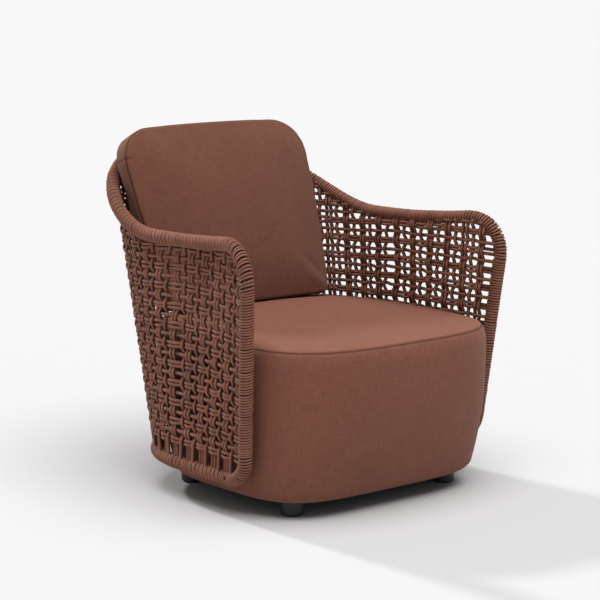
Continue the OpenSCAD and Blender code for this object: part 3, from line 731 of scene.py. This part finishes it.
def seatTop():
    k = drum
    top = k["seamH"] + 0.0002
    profile = [(k["foamZ"], 0.0020), (top - k["shoulderH"], 0.0020), (top - 0.001, k["shoulder"] + 0.0038)]
    for inward in (0, 0.0006, 0.0016, 0.003, 0.005, 0.008, 0.012, 0.018, 0.026, 0.036, 0.05, 0.068,
                   0.09, 0.12, 0.155, 0.195, 0.24, 0.285):
        rise = crownRise(1 - inward / (k["halfW"] * k["crownIn"]))
        profile.append((top + rise, k["shoulder"] + 0.0020 * math.exp(-(rise / 0.0024) ** 1.3) + inward))
    rings = [drumRing(z, min(inset, 0.296), k["seamH"]) for z, inset in profile]
    obj = ringStack("seat_top_cushion", rings, False, capped=True)
    fixNormals(obj)
    return obj


side = drumSide()
seat = seatTop()
print("drum shaped")

cushion = {"topW": 0.540, "lowW": 0.478, "h": 0.444, "gusset": 0.066, "swell": 0.030, "r": 0.092,
           "lowR": 0.024, "lean": 21.5, "y": 0.1375, "z": 0.380, "backIn": 0.004, "backPower": 1.6,
           "shellRoom": 0.0308, "roomSlope": 0.6, "restGap": 0.0004, "crossSeamZ": 0.368, "voxel": 0.0052,
           "start": 0.0040, "pressure": 4.0, "cap": 0.024, "sewnNear": 0.0062, "seatNear": 0.004,
           "rimGap": 0.0172, "weaveGap": 0.0082, "pressReach": 0.05, "grooveW": 0.0022, "seamShadeW": 0.0019}
leanAngle = math.radians(cushion["lean"])
leanCos, leanSin = math.cos(leanAngle), math.sin(leanAngle)
leanTurn = np.array([[1, 0, 0], [0, leanCos, leanSin], [0, -leanSin, leanCos]])


def inPlace(points):
    return points @ leanTurn.T + np.array([0, cushion["y"], cushion["z"]])


def outOfPlace(points):
    return (points - np.array([0, cushion["y"], cushion["z"]])) @ leanTurn


def seatHeight(x, y):
    k = drum
    reach = k["back"] - k["midY"]
    back = max(0.0, y - k["midY"]) / reach
    power = k["backPower"]
    out = ((abs(x) / k["halfW"]) ** power + back ** power) ** (1 / power)
    c = clamp01(1 - (1 - min(1.0, out)) * reach / (k["halfW"] * k["crownIn"]))
    return k["seamH"] + crownRise(c)


def sole(x, y):
    c = cushion
    return (seatHeight(x, c["y"] + y / leanCos) + c["restGap"] - c["z"]) / leanCos + y * math.tan(leanAngle)


sideLines = [(rimAt(t), lowAt(t)) for t in np.linspace(shell["sideShare"], 0.98, 60)]


def roomAt(y, z):  # how far to each side the cushion can reach before it meets the shell
    beside = np.array([mix(a, b, clamp01((a[2] - z) / (a[2] - b[2]))) for a, b in sideLines])
    above = z - np.interp(y, beside[:, 1], beside[:, 2])
    room = -np.interp(y, beside[:, 1], beside[:, 0]) - cushion["shellRoom"]
    return room + cushion["roomSlope"] * max(0.0, above)


def arcPoints(cx, cz, r, start, end, n):
    turns = [math.radians(q) for q in np.linspace(start, end, n)]
    return [(cx + r * math.cos(q), cz + r * math.sin(q)) for q in turns]


def cushionRing(y, inset, count=220):
    c = cushion
    wt, wl, h = c["topW"] / 2 - inset, c["lowW"] / 2 - inset, c["h"] - inset
    r, rl = max(0.012, c["r"] - inset), max(0.008, c["lowR"] - inset * 0.3)
    b = sole(wl - rl, y) + inset
    right = [(s * (wl - rl), sole(s * (wl - rl), y) + inset) for s in np.linspace(0, 0.96, 12)]
    right += arcPoints(wl - rl, b + rl, rl, -90, 0, 9)
    low, high = (wl, b + rl), (wt, h - r)
    for s in np.linspace(0.06, 0.94, 12):  # the side bows out a little
        right.append((mix(low[0], high[0], s) + 0.006 * math.sin(math.pi * s), mix(low[1], high[1], s)))
    right += arcPoints(wt - r, h - r, r, 0, 90, 18)
    right += [(wt - r - (wt - r) * s, h + 0.003 * math.sin(s * math.pi / 2)) for s in (0.35, 0.7)]
    right.append((0.0, h + 0.003))
    left = [(-x, z) for x, z in right[-2:0:-1]]
    line = np.array([(x, y, z) for x, z in right + left + right[:1]])
    room = np.array([roomAt(p[1], p[2]) for p in inPlace(line)]) - inset
    line[:, 0] = np.sign(line[:, 0]) * np.minimum(np.abs(line[:, 0]), room)
    return evenly(line, count=count + 1)[:-1]


def backSlice(y, inset, share, count=220):
    return cushionRing(y, inset + cushion["backIn"] * share, count)


def cushionBody():
    c = cushion
    rings, reach = [], c["lowW"] / 2 - 0.03
    for q in (84, 76, 68, 60, 52, 44, 36, 28, 20, 12, 5):
        a = math.radians(q)
        rings.append(cushionRing(-c["swell"] * math.sin(a), c["start"] + (1 - math.cos(a)) * reach))
    for s in np.linspace(0, 1, 9):
        rings.append(backSlice(c["gusset"] * s, c["start"], s ** c["backPower"]))
    for q in (5, 14, 24, 34, 44, 54, 64, 74, 84):
        a = math.radians(q)
        rings.append(backSlice(c["gusset"] + c["swell"] * 0.8 * math.sin(a),
                               c["start"] + (1 - math.cos(a)) * reach * 0.88, 1))
    rings = [inPlace(ring) for ring in rings]
    obj = ringStack("back_cushion_cover", rings, False, capped=True)
    fixNormals(obj)
    return obj


def puffUp(obj, pinned, pressure, cap, frames=20):
    onlySelect(obj)
    start = coords(obj.data)
    obj.vertex_groups.new(name="sewn").add([int(i) for i in np.nonzero(pinned)[0]], 1.0, "REPLACE")
    mod = obj.modifiers.new("cloth", "CLOTH")
    s = mod.settings
    s.quality, s.mass = 6, 0.3
    s.tension_stiffness, s.compression_stiffness, s.shear_stiffness, s.bending_stiffness = 22, 22, 12, 2.5
    s.use_pressure, s.uniform_pressure_force = True, pressure
    s.effector_weights.gravity = 0
    s.vertex_group_mass = "sewn"
    mod.point_cache.frame_start, mod.point_cache.frame_end = 1, frames
    for f in range(1, frames + 1):
        scene.frame_set(f)
    shown = obj.evaluated_get(bpy.context.evaluated_depsgraph_get())
    moved = coords(shown.data) - start
    far = np.linalg.norm(moved, axis=1)
    moved *= np.minimum(1, cap / np.maximum(far, 1e-9))[:, None]
    obj.modifiers.remove(mod)
    obj.vertex_groups.clear()
    setCoords(obj.data, start + moved)
    scene.frame_set(1)
    print(obj.name, "swelled, farthest", round(float(far.max()) * 1000, 1), "mm")


def distanceTo(tree, points):
    return np.array([tree.find(p)[2] for p in points])


def nearHeight(ring, z):  # the ring's point at this height on the left side
    left = ring[ring[:, 0] < -0.1]
    return left[np.abs(left[:, 2] - z).argmin()]


def heldBack(obj):  # the stuffing gives way where the rim and the woven back press on it
    c, co = cushion, coords(obj.data)
    flat = gridPoint.reshape(-1, 3)
    outs = np.repeat(gridOut, len(gridV), axis=0)
    tree = treeOf(flat)
    for i, p in enumerate(co):
        nearRim, _, gap = loopTree.find(p)
        if gap < c["rimGap"]:
            p = np.array(nearRim) + unit(p - np.array(nearRim)) * c["rimGap"]
        _, k, gap = tree.find(p)
        past = float((p - flat[k]) @ outs[k]) + c["weaveGap"]
        if past > 0 and gap < c["pressReach"]:
            p = p - outs[k] * past
        co[i] = p
    setCoords(obj.data, co)


def makeCushion():
    c = cushion
    obj = cushionBody()
    applyModifier(obj, "REMESH", mode="VOXEL", voxel_size=c["voxel"])
    applyModifier(obj, "SMOOTH", factor=0.5, iterations=3)
    frontSeam = inPlace(cushionRing(0.0, c["start"] * 0.6, 900))
    backSeam = inPlace(backSlice(c["gusset"], c["start"] * 0.6, 1, 900))
    tree = treeOf(np.vstack([frontSeam, backSeam]))
    co = coords(obj.data)
    onSeat = co[:, 2] < np.array([seatHeight(p[0], p[1]) for p in co]) + c["seatNear"]
    pinned = (distanceTo(tree, co) < c["sewnNear"]) | onSeat
    puffUp(obj, pinned, c["pressure"], c["cap"])
    applyModifier(obj, "SMOOTH", factor=0.5, iterations=12)
    applyModifier(obj, "SUBSURF", levels=1, render_levels=1)
    heldBack(obj)
    # the sewn lines are drawn in after the stuffing
    co = coords(obj.data)
    slices = [backSlice(c["gusset"] * s, c["start"] * 0.5, s ** c["backPower"], 900)
              for s in np.linspace(0, 1, 30)]
    crossTree = treeOf(inPlace(np.array([nearHeight(ring, c["crossSeamZ"]) for ring in slices])))
    near, crossNear = distanceTo(tree, co), distanceTo(crossTree, co)
    depth = outOfPlace(co)[:, 1]
    near = np.where(near < 0.03, np.minimum(np.abs(depth), np.abs(depth - c["gusset"])), near)
    crossNear = np.where(crossNear < 0.02, np.abs(outOfPlace(co)[:, 2] - c["crossSeamZ"]), crossNear)
    normals = np.zeros(len(co) * 3, np.float32)
    obj.data.vertices.foreach_get("normal", normals)
    normals = normals.reshape(-1, 3)
    groove = 0.0018 * np.exp(-(near / c["grooveW"]) ** 2) - 0.0007 * np.exp(-((near - 0.0055) / 0.003) ** 2)
    groove += 0.0011 * np.exp(-(crossNear / c["grooveW"]) ** 2)
    setCoords(obj.data, co - normals * groove[:, None])
    # painted shade along the front, back and cross seams
    seamShadeMask = 0.8 * np.exp(-(near / c["seamShadeW"]) ** 2) + 0.6 * np.exp(-(crossNear / c["seamShadeW"]) ** 2)
    seamShade(obj, np.clip(seamShadeMask, 0, 1))
    return obj


def boxUv(obj, toLocal):
    mesh = obj.data
    local = toLocal(coords(mesh))
    layer = mesh.uv_layers.get("weaveUV") or mesh.uv_layers.new(name="weaveUV")
    count = len(mesh.loops)
    vertex = np.zeros(count, np.int32)
    mesh.loops.foreach_get("vertex_index", vertex)
    normals = np.zeros(len(mesh.polygons) * 3, np.float32)
    mesh.polygons.foreach_get("normal", normals)
    normals = toLocal(normals.reshape(-1, 3).astype(float)) - toLocal(np.zeros((1, 3)))
    totals = np.zeros(len(mesh.polygons), np.int32)
    mesh.polygons.foreach_get("loop_total", totals)
    axis = np.repeat(np.abs(normals * [1.0, 1.25, 1.0]).argmax(1), totals)
    p = local[vertex]
    uv = np.where((axis == 0)[:, None], p[:, [1, 2]], p[:, [0, 1]])
    uv = np.where((axis == 1)[:, None], p[:, [0, 2]], uv)
    layer.data.foreach_set("uv", uv.astype(np.float32).ravel())


pillow = makeCushion()
boxUv(pillow, outOfPlace)
print("back cushion stuffed")


def finishSeat(obj):
    k = drum
    applyModifier(obj, "REMESH", mode="VOXEL", voxel_size=k["voxel"])
    applyModifier(obj, "SMOOTH", factor=0.5, iterations=2)
    co = coords(obj.data)
    fixed = co[:, 2] < k["seamH"] + k["heldRise"]
    puffUp(obj, fixed, k["pressure"], k["cap"], frames=14)
    applyModifier(obj, "SUBSURF", levels=1, render_levels=1)
    co = coords(obj.data)
    rise = co[:, 2] - k["seamH"]
    seamShade(obj, 0.6 * np.exp(-(np.maximum(rise, 0) / 0.0016) ** 2))
    boxUv(obj, lambda p: p)


finishSeat(seat)
for obj, body, nodes, slotName, fill in (
        (side, "chair", ("side_cover", "side_padding"), "seat_fabric", 0.9),
        (seat, "chair", ("seat_cover", "seat_foam"), "seat_fabric", 0.95),
        (pillow, "back_cushion", ("cushion_core", "cushion_front_panel", "cushion_gusset",
                                  "cushion_back_panel"), "cushion_fabric", 0.8)):
    obj.data.materials.clear()
    obj.data.materials.append(cushionShadedFabric if obj is pillow else seatFabric)
    obj.data.polygons.foreach_set("use_smooth", [True] * len(obj.data.polygons))
    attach(obj, body)
    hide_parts(*nodes)
    print(obj.name, len(obj.data.polygons), "faces")


def dustSheet():
    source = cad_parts["bottom_cloth"]
    mesh = source.data.copy()
    obj = bpy.data.objects.new("bottom_dust_cloth", mesh)
    scene.collection.objects.link(obj)
    onlySelect(obj)
    bpy.ops.object.mode_set(mode="EDIT")
    bpy.ops.mesh.select_all(action="SELECT")
    bpy.ops.mesh.remove_doubles(threshold=0.00002)
    bpy.ops.object.mode_set(mode="OBJECT")
    return obj


sheet = dustSheet()
sheet.data.materials.clear()
sheet.data.materials.append(dustCloth)
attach(sheet, "chair")
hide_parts("bottom_cloth")

finishes = {"rim_tube": coatedSteel, "lower_rail_tube": coatedSteel, "rail_spigots": coatedSteel,
            "base_board": plywood, "side_hoop": plywood, "top_frame": plywood, "cross_rail": plywood,
            "cross_webbing": straps, "long_webbing": straps,
            "shell_spacers": zincSteel, "shell_bolts": zincSteel,
            "front_left_foot": footPlastic, "front_right_foot": footPlastic, "rear_left_foot": footPlastic,
            "rear_right_foot": footPlastic, "foot_bolts": zincSteel, "foot_nuts": zincSteel,
            "foot_glides": glideFelt, "cushion_zip": zipTape}
for node, material in finishes.items():
    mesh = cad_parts[node].data
    mesh.materials.clear()
    mesh.materials.append(material)
print("frame parts finished")

studio = {"floorHalf": 90, "floorTone": 0.56, "sky": 0.30,
          "sun": 1.6, "sunTurn": 95.8, "sunLift": 35.0, "sunSoft": 5.0,
          "top": 3.45, "topTurn": 262.0, "topLift": 77.0, "topSoft": 60.0}


def addSun(name, energy, turn, lift, soft):
    light = bpy.data.lights.new(name, "SUN")
    light.energy, light.angle = energy, math.radians(soft)
    obj = bpy.data.objects.new(name, light)
    scene.collection.objects.link(obj)
    turn, lift = math.radians(turn), math.radians(lift)
    toward = Vector((math.cos(turn) * math.cos(lift), math.sin(turn) * math.cos(lift), math.sin(lift)))
    obj.rotation_mode = "QUATERNION"
    obj.rotation_quaternion = toward.to_track_quat("Z", "Y")


def addStudio():
    half = studio["floorHalf"]
    corners = [(-half, -half, 0), (half, -half, 0), (half, half, 0), (-half, half, 0)]
    floor = meshPiece("studioFloor", corners, [(0, 1, 2, 3)])
    f = Finish("paleFloor")
    tone = f.noise(f.place(), 3.0, 3.0)
    grey = studio["floorTone"]
    colour = f.blend(tone, (grey, grey, grey, 1), (grey * 1.012, grey * 1.012, grey * 1.012, 1))
    floor.data.materials.append(f.set(Base_Color=colour, Roughness=0.9, Specular_IOR_Level=0.0))
    world = bpy.data.worlds.new("studioWorld")
    world.use_nodes = True
    back = next(n for n in world.node_tree.nodes if n.type == "BACKGROUND")
    back.inputs[0].default_value = (1, 1, 1, 1)
    back.inputs[1].default_value = studio["sky"]
    scene.world = world
    addSun("windowLight", studio["sun"], studio["sunTurn"], studio["sunLift"], studio["sunSoft"])
    addSun("ceilingLight", studio["top"], studio["topTurn"], studio["topLift"], studio["topSoft"])
    scene.view_settings.view_transform = "Standard"


addStudio()
print("studio lit")
